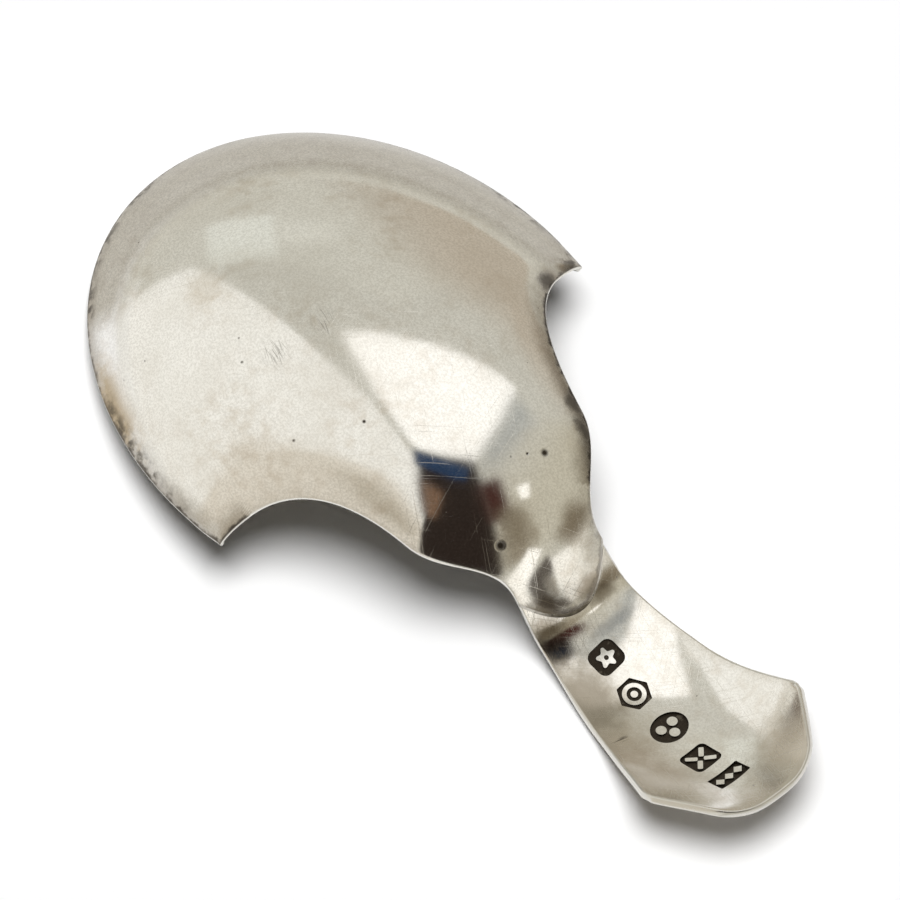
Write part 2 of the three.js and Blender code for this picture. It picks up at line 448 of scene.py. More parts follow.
def closed_sheet(upper, lower, rounding):
    """Vertices and faces of a sheet between two grids, with rounded edges, never below the table."""
    rows, columns = upper.shape[:2]
    loop = rim_loop(rows, columns)
    top = upper[loop]
    through = lower[loop] - top
    thickness = np.linalg.norm(through, axis=1, keepdims=True)
    down = through / thickness
    outward = unit(np.cross(np.roll(top, -1, 0) - np.roll(top, 1, 0), down))
    radius = np.minimum(rounding, edge_round_share * thickness)
    turns = [math.pi / 2 * k / round_steps for k in range(1, round_steps + 1)]
    ins = [outward * radius * (1 - math.sin(turn)) for turn in turns]
    depths = [radius * (1 - math.cos(turn)) for turn in turns]
    rings = [top - i + down * d for i, d in zip(ins, depths)]
    rings += [top - i + down * (thickness - d) for i, d in zip(ins[::-1], depths[::-1])]
    push = -outward * radius
    points = [inset_edges(upper, push).reshape(-1, 3), inset_edges(lower, push).reshape(-1, 3), *rings]
    vertices = np.concatenate(points)
    vertices[:, 2] = np.maximum(vertices[:, 2], 0)

    count = rows * columns
    index = np.arange(count).reshape(rows, columns)
    a, b = index[:-1, :-1].ravel(), index[1:, :-1].ravel()
    c, d = index[1:, 1:].ravel(), index[:-1, 1:].ravel()
    faces = [np.stack([a, b, c, d], -1), np.stack([d, c, b, a], -1) + count]
    ring_size = len(top)
    ring_at = [2 * count + k * ring_size + np.arange(ring_size) for k in range(len(rings))]
    walls = [index[loop], *ring_at, index[loop] + count]
    for above, below in zip(walls, walls[1:]):
        faces.append(np.stack([above, np.roll(above, -1), np.roll(below, -1), below], -1))
    on_wall = np.repeat([0.0, 1.0], [2 * count, len(vertices) - 2 * count])
    return vertices, np.concatenate(faces), top, on_wall


def nearest_edge(vertices, edge):
    """Distance from each vertex to the nearest point of the sheet's edge, and which point that is."""
    gaps = []
    picks = []
    for block in np.array_split(vertices, 64):
        away = np.linalg.norm(block[:, None] - edge[None], axis=-1)
        picks.append(away.argmin(1))
        gaps.append(away.min(1))
    return np.concatenate(gaps), np.concatenate(picks)


def far_reach(points):
    """How far points lie towards the far side of the picture, in millimetres from the spoon's middle."""
    return (length / 2 - points[:, 0]) * math.sin(camera_azimuth) + points[:, 1] * math.cos(camera_azimuth)


# Darkness of the line of dirt along the edge of the sheet.
far_rim_at = 4
rim_end_at = cusp_at + 0.3
toe_half_width = 0.9 * neck_half_width
far_rim_soil = 0.75
near_rim_soil = 0.85
right_bite_soil = 0.95
left_bite_soil = 0.12
right_handle_soil = 0.3
left_handle_soil = 0.12
toe_soil = 0.35


def edge_soil(edge):
    """How dark the line of dirt is along the edge: most on the rim and in the right bite."""
    station, y = edge[:, 0], edge[:, 1]
    rim = np.where(far_reach(edge) > far_rim_at, far_rim_soil, near_rim_soil)
    bite = np.where(y > 0, right_bite_soil, left_bite_soil)
    on_handle = np.where(y > 0, right_handle_soil, left_handle_soil)
    soil = np.where(station < rim_end_at, rim, bite)
    soil = np.where(station > root_at, on_handle, soil)
    toe = (np.abs(y) < toe_half_width) & (station > root_at) & (station < bend_at)
    return np.where(toe, toe_soil, soil)


# Painted shade on the bowl's far side and inside it: the depth of each step, and the rise over which the step
# comes.
shade_steps = ((0.88, -0.01, -0.17), (0.17, -0.2, -0.45))
shade_from = 11.5
shade_full = 14.5
inside_shade = 0.8


def painted_rim_shade(vertices, normals):
    """Painted shade on the far side of the bowl, where its back falls steeply to the rim and mirrors the
    table, and inside the bowl, where it deepens the shadow under the bowl.

    The rise is the height of the direction that the surface mirrors towards the photograph's side. The
    painted shade is stored on the mesh, so it stays in its place from every other side.
    """
    view = np.array(camera_back)
    rise = 2 * (normals @ view) * normals[:, 2] - view[2]
    depth = sum(share * ease(rise, start, end) for share, start, end in shade_steps)
    outside = depth * ease(far_reach(vertices), shade_from, shade_full)
    return np.where(normals[:, 2] > 0, outside, inside_shade)


def new_object(name, data):
    made = bpy.data.objects.new(name, data)
    bpy.context.scene.collection.objects.link(made)
    return made


def set_attribute(mesh, name, values):
    attribute = mesh.attributes.get(name) or mesh.attributes.new(name, "FLOAT", "POINT")
    attribute.data.foreach_set("value", values.astype(np.float32))


def mark_edges(mesh, edge, dimmed):
    """Stores the distance from the edge and its dirt on a mesh, and when dimmed the painted shade of the
    bowl's far rim and inside.
    """
    vertices = np.empty(len(mesh.vertices) * 3)
    mesh.vertices.foreach_get("co", vertices)
    vertices = vertices.reshape(-1, 3) / MM + (length / 2, 0, 0)
    gap, pick = nearest_edge(vertices, edge)
    set_attribute(mesh, "edge_gap", gap)
    set_attribute(mesh, "edge_soil", edge_soil(edge)[pick])
    # Painted shade of the far rim and of the inside, on the bowl alone.
    if dimmed:
        normals = np.empty(len(mesh.vertices) * 3)
        mesh.vertex_normals.foreach_get("vector", normals)
        set_attribute(mesh, "painted_rim_shade", painted_rim_shade(vertices, normals.reshape(-1, 3)))


def sheet_object(name, upper, lower, rounding):
    """A mesh object of one sheet, with its cut edge as an attribute, and the line of its edge."""
    vertices, faces, edge, on_wall = closed_sheet(upper, lower, rounding)
    mesh = bpy.data.meshes.new(name)
    mesh.from_pydata(((vertices - (length / 2, 0, 0)) * MM).tolist(), [], faces.tolist())
    toe = (vertices[:, 0] > tongue_side_at + 0.05) & (vertices[:, 0] < bend_at)
    toe &= np.abs(vertices[:, 1]) < neck_half_width
    set_attribute(mesh, "cut_edge", np.where(toe, 0, on_wall))
    mesh.polygons.foreach_set("use_smooth", np.ones(len(faces), bool))
    mesh.update()
    return new_object(name, mesh), edge


def press_flanks(grid):
    """Presses the sheet in along the bites, which leaves a soft ridge that runs into each cusp."""
    bite = bezier([cusp, bite_pull, shoulder], curve_shares[::6])
    for side in (1, -1):
        curve = bite * (1, side, 1)
        flat = grid.reshape(-1, 3)
        gap, pick = nearest_edge(flat, curve)
        from_cusp = np.linalg.norm(flat - curve[0], axis=1)
        share = ease(from_cusp, flank_gap, flank_reach) * (1 - ease(pick / len(curve), *flank_fade))
        flat[:, 2] -= flank_press * share * ease(gap, flank_reach, 0)


def spoon_sheets():
    """The bowl, the handle and the solder between them, as three closed sheets."""
    bowl_back, lap_back, handle_back = back_grids()
    soften_crease(bowl_back, front_rows, crease_rows, crease_rounds)
    press_flanks(bowl_back)
    back = np.concatenate([bowl_back, lap_back[1:], handle_back])
    inward = inward_normals(back)
    lap_first = len(bowl_back) - 1
    lap_last = lap_first + lap_rows
    scarf = np.clip((np.arange(len(back)) - lap_first) / lap_rows, 0, 1)
    tongue = mix(sheet, feather, scarf)[:, None, None]

    def layer(rows, depth):
        return back[rows] + inward[rows] * depth

    taper = (feather - toe_step) * ease(scarf, 0.25, 1)[:, None, None]
    on_bowl = slice(0, lap_last + 1)
    on_lap = slice(lap_first, lap_last + 1)
    on_handle = slice(lap_first, None)
    bowl_upper = layer(on_bowl, taper[on_bowl])
    bowl = sheet_object("silver_bowl", bowl_upper, layer(on_bowl, tongue[on_bowl]), edge_round)
    handle_upper = layer(on_handle, tongue[on_handle] + solder_film)
    handle = sheet_object("silver_handle", handle_upper, layer(on_handle, stack), edge_round)

    toe = slice(lap_last + 1, lap_last + 2)
    head = slice(lap_last, lap_last + 1)
    upper = np.concatenate([layer(on_lap, tongue[on_lap]), layer(head, feather - toe_step + solder_cover)])
    lower = np.concatenate([layer(on_lap, tongue[on_lap] + solder_film), layer(toe, feather + solder_film)])
    solder = sheet_object("solder_joint", upper, lower, solder_round)
    return bowl, handle, solder


def photograph_camera():
    data = bpy.data.cameras.new("photograph_camera")
    data.lens = data.sensor_width * camera_distance / (image_width / pixels_per_mm * MM)
    camera = new_object("photograph_camera", data)
    aim = Vector((0, 0, aim_height)) + camera_right * aim_right + camera_up * aim_up
    turn = Matrix((camera_right, camera_up, camera_back)).transposed()
    camera.matrix_world = Matrix.Translation(aim + camera_back * camera_distance) @ turn.to_4x4()
    bpy.context.scene.camera = camera


def add_node(tree, kind, inputs=None, **settings):
    """A node with its settings made and its inputs set or linked, named or numbered."""
    node = tree.nodes.new(kind)
    for name, value in settings.items():
        setattr(node, name, value)
    for key, value in (inputs or {}).items():
        if isinstance(value, bpy.types.NodeSocket):
            tree.links.new(value, node.inputs[key])
        else:
            node.inputs[key].default_value = value
    return node


def output(tree, kind, inputs=None, socket=0, **settings):
    """One output of a new node, named or numbered."""
    return add_node(tree, kind, inputs, **settings).outputs[socket]


def new_group(name, kind, inputs, outputs):
    """An empty node group with its sockets, the outputs of its input node, and its output node."""
    tree = bpy.data.node_groups.new(name, kind)
    for label, kind_of_value, default in inputs:
        socket = tree.interface.new_socket(label, in_out="INPUT", socket_type="NodeSocket" + kind_of_value)
        if default is not None:
            socket.default_value = default
    for label, kind_of_value in outputs:
        tree.interface.new_socket(label, in_out="OUTPUT", socket_type="NodeSocket" + kind_of_value)
    return tree, tree.nodes.new("NodeGroupInput").outputs, tree.nodes.new("NodeGroupOutput")


def maths(tree, operation, *values):
    return output(tree, "ShaderNodeMath", dict(enumerate(values)), operation=operation)


def vectors(tree, operation, *values, socket=0):
    return output(tree, "ShaderNodeVectorMath", dict(enumerate(values)), socket, operation=operation)


def fade(tree, value, start, end, low=0, high=1):
    """A smooth change from low to high as a value goes from start to end."""
    inputs = {"Value": value, "From Min": start, "From Max": end, "To Min": low, "To Max": high}
    return output(tree, "ShaderNodeMapRange", inputs, interpolation_type="SMOOTHSTEP")


def blend(tree, share, a, b):
    return output(tree, "ShaderNodeMix", {0: share, 6: a, 7: b}, 2, data_type="RGBA")


def coats(tree, colour, *layers):
    """A colour with layers laid over it, each a mask, its strength and its own colour."""
    for mask, strength, tint in layers:
        colour = blend(tree, maths(tree, "MULTIPLY", mask, strength), colour, tint)
    return colour


# The room: soft panels on a grey surround, placed in degrees from straight up, to the right and nearer.
picture_near = Vector((camera_back.x, camera_back.y, 0)).normalized()


def sky(right, near):
    angle = math.radians(math.hypot(right, near))
    flat = (camera_right * right + picture_near * near).normalized()
    return flat * math.sin(angle) + Vector((0, 0, math.cos(angle)))


def soft_panel_group():
    inputs = [
        ("Direction", "Vector", None),
        ("Facing", "Vector", None),
        ("Side", "Vector", None),
        ("Rise", "Vector", None),
        ("Half Height", "Float", 0.5),
        ("Lower Half Width", "Float", 0.5),
        ("Upper Half Width", "Float", 0.5),
        ("Softness", "Float", 0.05),
    ]
    tree, given, result = new_group("soft_panel", "ShaderNodeTree", inputs, [("Mask", "Float")])

    def along(axis):
        return vectors(tree, "DOT_PRODUCT", given["Direction"], given[axis], socket="Value")

    facing = along("Facing")
    in_front = maths(tree, "GREATER_THAN", facing, 0.01)
    depth = maths(tree, "MAXIMUM", facing, 0.01)
    side = maths(tree, "ABSOLUTE", maths(tree, "DIVIDE", along("Side"), depth))
    rise = maths(tree, "DIVIDE", along("Rise"), depth)
    share = maths(tree, "MULTIPLY_ADD", maths(tree, "DIVIDE", rise, given["Half Height"]), 0.5, 0.5)
    wider = maths(tree, "SUBTRACT", given["Upper Half Width"], given["Lower Half Width"])
    half_width = maths(tree, "MULTIPLY_ADD", wider, share, given["Lower Half Width"])
    softness = given["Softness"]
    hardness = maths(tree, "MULTIPLY", softness, -1)
    mask_side = fade(tree, maths(tree, "SUBTRACT", side, half_width), hardness, softness, 1, 0)
    beyond = maths(tree, "SUBTRACT", maths(tree, "ABSOLUTE", rise), given["Half Height"])
    mask_rise = fade(tree, beyond, hardness, softness, 1, 0)
    mask = maths(tree, "MULTIPLY", maths(tree, "MULTIPLY", mask_side, mask_rise), in_front)
    tree.links.new(mask, result.inputs["Mask"])
    return tree


room_grey = (0.62, 0.605, 0.54, 1)
# Each panel: middle of its lower and upper edge, half its width there in degrees, softness and colour.
panels = {
    "right_wall": ((75, 30), (42, 0), 40, 30, 0.3, (0.57, 0.535, 0.435, 1)),
    "right_corner": ((94, -44), (70, -34), 24, 20, 0.14, (0.12, 0.105, 0.09, 1)),
    "window_wall": ((-150.8, 89), (-5.1, 1.6), 70, 70, 0.06, (0.96, 0.945, 0.89, 1)),
    "far_corner": ((-31, -100), (-60.5, -52.8), 60, 60, 0.03, (0.645, 0.63, 0.56, 1)),
    "far_right": ((42, -96), (34, -48), 26, 22, 0.25, (0.53, 0.47, 0.385, 1)),
    "near_wall": ((-45, 66), (-34, 10), 40, 24, 0.12, (0.77, 0.72, 0.63, 1)),
    "near_fold": ((-26, 44), (-22, 26), 8, 6, 0.1, (0.55, 0.5, 0.41, 1)),
    "far_lamp": ((-36, -53), (-33, -71), 9, 8, 0.025, (0.78, 0.785, 0.72, 1)),
    "far_lamp_tail": ((-15.5, -59), (-14.5, -68), 6.5, 6.5, 0.05, (0.72, 0.71, 0.64, 1)),
    "overhead": ((9, 5), (11, -31), 11, 26, 0.03, (1.2, 1.18, 1.13, 1)),
    "shaded_side": ((24.5, 6), (39, -22), 3.5, 4, 0.09, (0.45, 0.46, 0.44, 1)),
    "dark_screen": ((10, 66), (9.5, 6), 25, 11.5, 0.04, (0.028, 0.02, 0.016, 1)),
    "brown_left": ((-2, 32), (2, 18), 4, 4, 0.05, (0.2, 0.12, 0.075, 1)),
    "brown_right": ((34, 32), (26, 13), 5, 4.5, 0.05, (0.055, 0.016, 0.012, 1)),
    "blue_strip": ((7, 12.5), (8, 6.5), 10, 10, 0.02, (0.02, 0.045, 0.1, 1)),
    "near_dim": ((46, 52), (38, 24), 8, 6, 0.1, (0.3, 0.26, 0.19, 1)),
    "near_right_shade": ((82, 20), (66, 23), 8, 8, 0.08, (0.24, 0.2, 0.14, 1)),
    "near_post": ((54, 66), (66, 45), 4, 3.5, 0.03, (0.1, 0.085, 0.07, 1)),
    "near_window": ((68, 50), (90, 22), 5.5, 5.5, 0.02, (1.05, 1.02, 0.94, 1)),
    "near_gap": ((41, 76), (54, 42), 5, 4, 0.02, (1.25, 1.22, 1.14, 1)),
    "near_glint": ((43.5, 18.4), (41.5, 12.6), 2.2, 3, 0.015, (1.25, 1.22, 1.14, 1)),
}


def studio_room():
    world = bpy.data.worlds.new("room")
    bpy.context.scene.world = world
    world.use_nodes = True
    world.cycles_visibility.diffuse = False
    tree = world.node_tree
    panel_group = soft_panel_group()
    direction = output(tree, "ShaderNodeTexCoord", socket="Generated")
    colour = room_grey
    for name, (lower, upper, lower_half, upper_half, softness, tint) in panels.items():
        low, high = sky(*lower), sky(*upper)
        facing = (low + high).normalized()
        rise = (high - facing * high.dot(facing)).normalized()
        inputs = {
            "Direction": direction,
            "Facing": facing,
            "Side": rise.cross(facing),
            "Rise": rise,
            "Half Height": math.tan(low.angle(high) / 2),
            "Lower Half Width": math.tan(math.radians(lower_half)),
            "Upper Half Width": math.tan(math.radians(upper_half)),
            "Softness": softness,
        }
        mask = output(tree, "ShaderNodeGroup", inputs, "Mask", node_tree=panel_group, name=name)
        colour = blend(tree, mask, colour, tint)
    tree.links.new(colour, tree.nodes["Background"].inputs["Color"])


# Each lamp: its place in the room, how wide it looks in degrees, and its strength.
lamps = {"key": ((1, -1), 34, 3.0), "fill": ((0, -2), 90, 0.3)}


def studio_lamps():
    """Soft lamps on the table alone: the silver shows the room instead."""
    for name, (place, width, strength) in lamps.items():
        data = bpy.data.lights.new(name, "SUN")
        data.energy = strength
        data.angle = math.radians(width)
        lamp = new_object(name, data)
        lamp.rotation_euler = sky(*place).to_track_quat("Z", "Y").to_euler()
        lamp.visible_glossy = False


def place_on_spoon(station, y, height):
    return Vector((station - length / 2, y, height)) * MM


def fine_scratches_group():
    inputs = [
        ("Place", "Vector", None),
        ("Turn", "Float", 0.0),
        ("Length", "Float", 4.0),
        ("Width", "Float", 0.08),
        ("Threshold", "Float", 0.66),
    ]
    tree, given, result = new_group("fine_scratches", "ShaderNodeTree", inputs, [("Mask", "Float")])
    inputs = {"Vector": given["Place"], "Angle": given["Turn"]}
    turned = output(tree, "ShaderNodeVectorRotate", inputs, rotation_type="Z_AXIS")
    split = add_node(tree, "ShaderNodeSeparateXYZ", {0: turned}).outputs
    along = maths(tree, "DIVIDE", split["X"], maths(tree, "MULTIPLY", given["Length"], MM))
    over = maths(tree, "DIVIDE", split["Y"], maths(tree, "MULTIPLY", given["Width"], MM))
    stretched = output(tree, "ShaderNodeCombineXYZ", {"X": along, "Y": over, "Z": given["Turn"]})
    inputs = {"Vector": stretched, "Scale": 1.0, "Detail": 1.0, "Distortion": 0.3}
    streaks = output(tree, "ShaderNodeTexNoise", inputs)
    top = maths(tree, "ADD", given["Threshold"], 0.1)
    tree.links.new(fade(tree, streaks, given["Threshold"], top), result.inputs["Mask"])
    return tree


def rim_tarnish_group():
    inputs = [
        ("Place", "Vector", None),
        ("Edge Gap", "Float", 0.0),
        ("Reach", "Float", 2.0),
        ("Line", "Float", 0.3),
    ]
    outputs = [("Haze", "Float"), ("Line", "Float")]
    tree, given, result = new_group("rim_tarnish", "ShaderNodeTree", inputs, outputs)

    def ragged_gap(scale, depth):
        inputs = {"Vector": given["Place"], "Scale": scale, "Detail": 4.0, "Roughness": 0.6}
        off = maths(tree, "SUBTRACT", output(tree, "ShaderNodeTexNoise", inputs), 0.5)
        return maths(tree, "MULTIPLY_ADD", off, depth, given["Edge Gap"])

    wide = ragged_gap(260.0, maths(tree, "MULTIPLY", given["Reach"], 0.9))
    tree.links.new(fade(tree, wide, given["Reach"], 0.0), result.inputs["Haze"])
    thin = ragged_gap(1300.0, maths(tree, "MULTIPLY", given["Line"], 2.4))
    inner = maths(tree, "MULTIPLY", given["Line"], 0.3)
    tree.links.new(fade(tree, thin, given["Line"], inner), result.inputs["Line"])
    return tree


def specks_group():
    inputs = [
        ("Place", "Vector", None),
        ("Spacing", "Float", 3.0),
        ("Size", "Float", 0.15),
        ("Share", "Float", 0.3),
    ]
    tree, given, result = new_group("specks", "ShaderNodeTree", inputs, [("Mask", "Float")])
    scale = maths(tree, "DIVIDE", 1 / MM, given["Spacing"])
    cells = add_node(tree, "ShaderNodeTexVoronoi", {"Vector": given["Place"], "Scale": scale}).outputs
    ragged = output(tree, "ShaderNodeTexNoise", {"Vector": given["Place"], "Scale": 5000.0})
    off = maths(tree, "MULTIPLY", cells["Distance"], given["Spacing"])
    off = maths(tree, "MULTIPLY", off, maths(tree, "ADD", ragged, 0.5))
    picks = add_node(tree, "ShaderNodeSeparateColor", {0: cells["Color"]}).outputs
    size = maths(tree, "MULTIPLY", given["Size"], maths(tree, "ADD", picks[1], 0.5))
    dot = fade(tree, off, size, maths(tree, "MULTIPLY", size, 0.55))
    chosen = maths(tree, "LESS_THAN", picks[0], given["Share"])
    tree.links.new(maths(tree, "MULTIPLY", dot, chosen), result.inputs["Mask"])
    return tree


def stain_group():
    inputs = [
        ("Place", "Vector", None),
        ("Centre", "Vector", None),
        ("Spread", "Vector", None),
        ("Ragged", "Float", 0.8),
        ("Grain", "Float", 900.0),
    ]
    tree, given, result = new_group("stain", "ShaderNodeTree", inputs, [("Mask", "Float")])
    off = vectors(tree, "SUBTRACT", given["Place"], given["Centre"])
    share = vectors(tree, "DIVIDE", off, given["Spread"])
    distance = vectors(tree, "LENGTH", share, socket="Value")
    inputs = {"Vector": given["Place"], "Scale": given["Grain"], "Detail": 4.0, "Roughness": 0.65}
    uneven = maths(tree, "SUBTRACT", output(tree, "ShaderNodeTexNoise", inputs), 0.5)
    ragged = maths(tree, "MULTIPLY_ADD", uneven, given["Ragged"], distance)
    tree.links.new(fade(tree, ragged, 1.0, 0.25), result.inputs["Mask"])
    return tree


def masked(tree, group, output_name="Mask", **inputs):
    """One mask of a node group, with its named inputs set or linked."""
    titled = {key.replace("_", " ").title(): value for key, value in inputs.items()}
    return output(tree, "ShaderNodeGroup", titled, output_name, node_tree=group)


def noise(tree, place, size):
    """Even noise whose features are about this many millimetres wide."""
    return output(tree, "ShaderNodeTexNoise", {"Vector": place, "Scale": 1 / (size * MM), "Detail": 3.0})


def clouds(tree, place, size, low, high):
    return fade(tree, noise(tree, place, size), low, high)


def stored(tree, name):
    """A value that is stored on the mesh."""
    return output(tree, "ShaderNodeAttribute", socket="Fac", attribute_name=name)


def new_material(name):
    material = bpy.data.materials.new(name)
    material.use_nodes = True
    tree = material.node_tree
    return material, tree, output(tree, "ShaderNodeTexCoord", socket="Object")


def finish_silver(tree, colour, rough, height, bump_strength, bump_depth):
    """Makes a material metal and links its colour, roughness and fine relief, in millimetres."""
    shader = tree.nodes["Principled BSDF"].inputs
    shader["Metallic"].default_value = 1
    relief = {"Strength": bump_strength, "Distance": bump_depth * MM, "Height": height}
    tree.links.new(colour, shader["Base Color"])
    tree.links.new(rough, shader["Roughness"])
    tree.links.new(output(tree, "ShaderNodeBump", relief), shader["Normal"])


def mixed_sum(tree, start, *terms):
    """A start value plus masks times their weights."""
    total = start
    for mask, weight in terms:
        total = maths(tree, "MULTIPLY_ADD", mask, weight, total)
    return total


def all_of(tree, *masks):
    total = masks[0]
    for mask in masks[1:]:
        total = maths(tree, "MULTIPLY", total, mask)
    return total


def either(tree, *masks):
    total = masks[0]
    for mask in masks[1:]:
        total = maths(tree, "MAXIMUM", total, mask)
    return total


# Stains on the bowl: centre as (station, y, height), spread in millimetres, raggedness. Pits have a size.
brown_stains = [((13.1, -6.2, 9.5), (2.6, 2.0, 3.0), 1.6)]
rim_stains = [((13.6, -15.2, 4.1), (6.4, 3.4, 4.0), 1.1)]
rim_dirt = [
    ((16.5, -16.6, 4.2), (9.0, 3.0, 3.6), 1.6),
    ((0.6, -2.4, 0.6), (1.8, 3.2, 2.0), 0.8),
    ((1.8, -7.6, 1.0), (3.0, 4.4, 2.2), 0.6),
    ((4.8, -11.8, 1.5), (3.4, 3.4, 2.4), 0.6),
    ((21.0, 16.8, 4.2), (4.6, 3.0, 3.0), 0.9),
    ((27.4, 16.6, 5.2), (2.4, 2.4, 2.4), 0.8),
]
dark_stains = [
    ((35.7, 9.6, 9.6), (1.4, 0.8, 1.6), 1.2),
    ((37.9, 8.2, 9.7), (1.7, 0.8, 1.4), 1.0),
    ((39.8, 7.5, 9.0), (1.6, 0.7, 1.5), 1.2),
    ((42.3, 6.3, 8.0), (1.2, 0.6, 1.4), 1.4),
    ((28.6, 13.9, 8.3), (1.2, 1.6, 1.6), 1.0),
]
neck_stains = [
    ((42.4, -1.4, 9.3), (2.4, 2.0, 2.4), 1.6),
    ((44.7, 2.8, 7.0), (2.4, 2.4, 2.8), 1.8),
    ((46.3, -1.3, 5.5), (1.3, 0.7, 1.5), 0.7),
    ((43.5, -0.5, 8.5), (0.9, 0.7, 1.1), 0.6),
]
toe_stains = [((47.6, 1.5, 3.6), (1.3, 1.9, 1.5), 0.8), ((46.9, -2.3, 4.3), (1.5, 1.2, 1.7), 0.8)]
scratch_clusters = [((21.3, -6.4, 11.9), (1.6, 1.3, 2.0), 0.9), ((22.0, -2.3, 12.8), (1.7, 1.2, 2.0), 0.9)]
bowl_pits = [((39.83, 3.67, 10.6), 0.42), ((42.74, -3.1, 8.75), 0.5), ((39.2, 2.5, 11.0), 0.16)]
bowl_dot_size = 0.2
bowl_dots = [(27.42, -9.78, 11.3), (28.85, -12.23, 9.7), (19.98, -8.43, 11.0), (30.11, -5.3, 12.6)]


def stains(tree, groups, place, rows):
    spots = []
    for centre, spread, ragged in rows:
        middle = place_on_spoon(*centre)
        reach = Vector(spread) * MM
        spots.append(masked(tree, groups["stain"], place=place, centre=middle, spread=reach, ragged=ragged))
    return either(tree, *spots)


def scratches(tree, groups, place, turns, run, width, threshold):
    """Scratches of one run and width, in each of the given directions."""
    sizes = {"place": place, "length": run, "width": width, "threshold": threshold}
    return either(tree, *(masked(tree, groups["scratches"], turn=turn, **sizes) for turn in turns))


def bowl_silver(groups):
    """Worn polish with a hazy, tarnished rim edge, painted shade on the far rim and inside, brown and black
    stains, and fine scratches.
    """
    material, tree, place = new_material("bowl_silver")
    spots = partial(stains, tree, groups, place)
    strokes = partial(scratches, tree, groups, place)
    cloudy = partial(clouds, tree, place)
    gap = stored(tree, "edge_gap")
    soil = stored(tree, "edge_soil")
    edge = masked(tree, groups["tarnish"], "Haze", place=place, edge_gap=gap, reach=2.2)
    line = masked(tree, groups["tarnish"], "Line", place=place, edge_gap=gap, line=0.5)
    soiled_edge = all_of(tree, edge, maths(tree, "MULTIPLY", soil, 0.6))
    # Haze: the dirt along the edge, together with the painted shade stored on the mesh.
    haze = either(tree, soiled_edge, stored(tree, "painted_rim_shade"))
    brown = either(
        tree,
        all_of(tree, spots(rim_stains), fade(tree, gap, 3.4, 0.9)),
        maths(tree, "MULTIPLY", spots(brown_stains), 0.25),
    )
    rim_specks = all_of(tree, spots(rim_dirt), fade(tree, gap, 1.7, 0.5), cloudy(0.8, 0.4, 0.6))
    dark = either(tree, spots(dark_stains), rim_specks)
    neck = spots(neck_stains)
    pits = spots([(centre, (size,) * 3, 0.5) for centre, size in bowl_pits])
    dots = spots([(centre, (bowl_dot_size,) * 3, 0.4) for centre in bowl_dots])
    fine = strokes(turns=(0.5, 1.25, 2.3), run=6.0, width=0.05, threshold=0.69)
    coarse = strokes(turns=(0.2, 0.42), run=1.8, width=0.1, threshold=0.58)
    deep = all_of(tree, coarse, spots(scratch_clusters))
    specks = masked(tree, groups["specks"], place=place, spacing=1.7, size=0.09, share=0.4)
    cloud = cloudy(5.0, 0.4, 0.72)
    smudge = all_of(tree, cloudy(1.0, 0.36, 0.8), cloudy(7.0, 0.38, 0.66))
    grain = cloudy(0.16, 0.34, 0.66)
    black = either(
        tree,
        maths(tree, "MULTIPLY", dark, 0.8),
        pits,
        dots,
        maths(tree, "MULTIPLY", specks, 0.55),
        maths(tree, "MULTIPLY", deep, 0.4),
        maths(tree, "MULTIPLY", line, soil),
    )

    polish = blend(tree, grain, (0.78, 0.765, 0.73, 1), (0.94, 0.925, 0.89, 1))
    # The colour of the haze, which lays both edge dirt and painted shade.
    dimmed = blend(tree, grain, (0.345, 0.315, 0.255, 1), (0.475, 0.435, 0.355, 1))
    dimmed = coats(tree, dimmed, (cloudy(1.0, 0.4, 0.8), 0.5, (0.31, 0.27, 0.215, 1)))
    colour = coats(
        tree,
        polish,
        (cloud, 0.35, (0.72, 0.69, 0.63, 1)),
        (smudge, 0.55, (0.60, 0.535, 0.45, 1)),
        (fine, 0.22, (0.55, 0.51, 0.45, 1)),
        (haze, 0.95, dimmed),
        (soiled_edge, 1, (0.24, 0.2, 0.15, 1)),
        (brown, 0.85, (0.45, 0.35, 0.215, 1)),
        (neck, 0.38, (0.38, 0.32, 0.235, 1)),
        (spots(toe_stains), 0.75, (0.26, 0.215, 0.16, 1)),
        (black, 1, (0.055, 0.045, 0.035, 1)),
        (stored(tree, "cut_edge"), 1, (0.80, 0.78, 0.73, 1)),
    )
    stained = ((black, 0.3), (brown, 0.15), (neck, 0.06))
    rough = mixed_sum(tree, 0.085, (cloud, 0.04), (haze, 0.15), (fine, 0.08), *stained)
    sunk = ((fine, -1.2), (deep, -3.0), (pits, -20.0), (specks, -2.0))
    height = mixed_sum(tree, 0.0, (grain, 0.1), *sunk, (brown, 1.0))
    finish_silver(tree, colour, rough, height, bump_strength=0.25, bump_depth=0.004)
    return material


# Strokes, dull patches, dots, dirt and a painted shade band across the bend on the handle, in the same terms.
handle_strokes = [((57.7, -4.6, 1.6), (0.45, 1.1, 1.5), 0.4)]
dull_patches = [
    ((56.0, -5.6, 1.0), (10.0, 6.2, 5.0), 0.5),
    ((64.0, -5.6, 3.8), (9.0, 5.6, 5.0), 0.5),
    ((70.0, 1.0, 6.0), (5.6, 8.0, 5.0), 0.5),
    ((67.6, 3.4, 4.6), (5.2, 5.6, 4.4), 0.5),
]
handle_dot_size = 0.17
handle_dots = [(52.8, 1.1, 1.3), (53.6, -3.4, 1.2), (58.3, 3.3, 1.7)]
grey_patches = [((53.4, -4.2, 0.8), (4.4, 4.0, 3.0), 0.6)]
# A painted blue-grey shade band across the handle, just past the bend.
painted_bend_shade = [((50.3, 1.3, 2.0), (0.7, 3.2, 1.6), 0.6)]
brown_creases = [
    ((48.4, 2.2, 3.0), (1.1, 2.1, 1.3), 0.7),
    ((47.9, -3.0, 2.6), (2.2, 1.8, 1.9), 0.6),
    ((49.4, -3.4, 1.6), (1.8, 1.4, 1.5), 0.6),
]


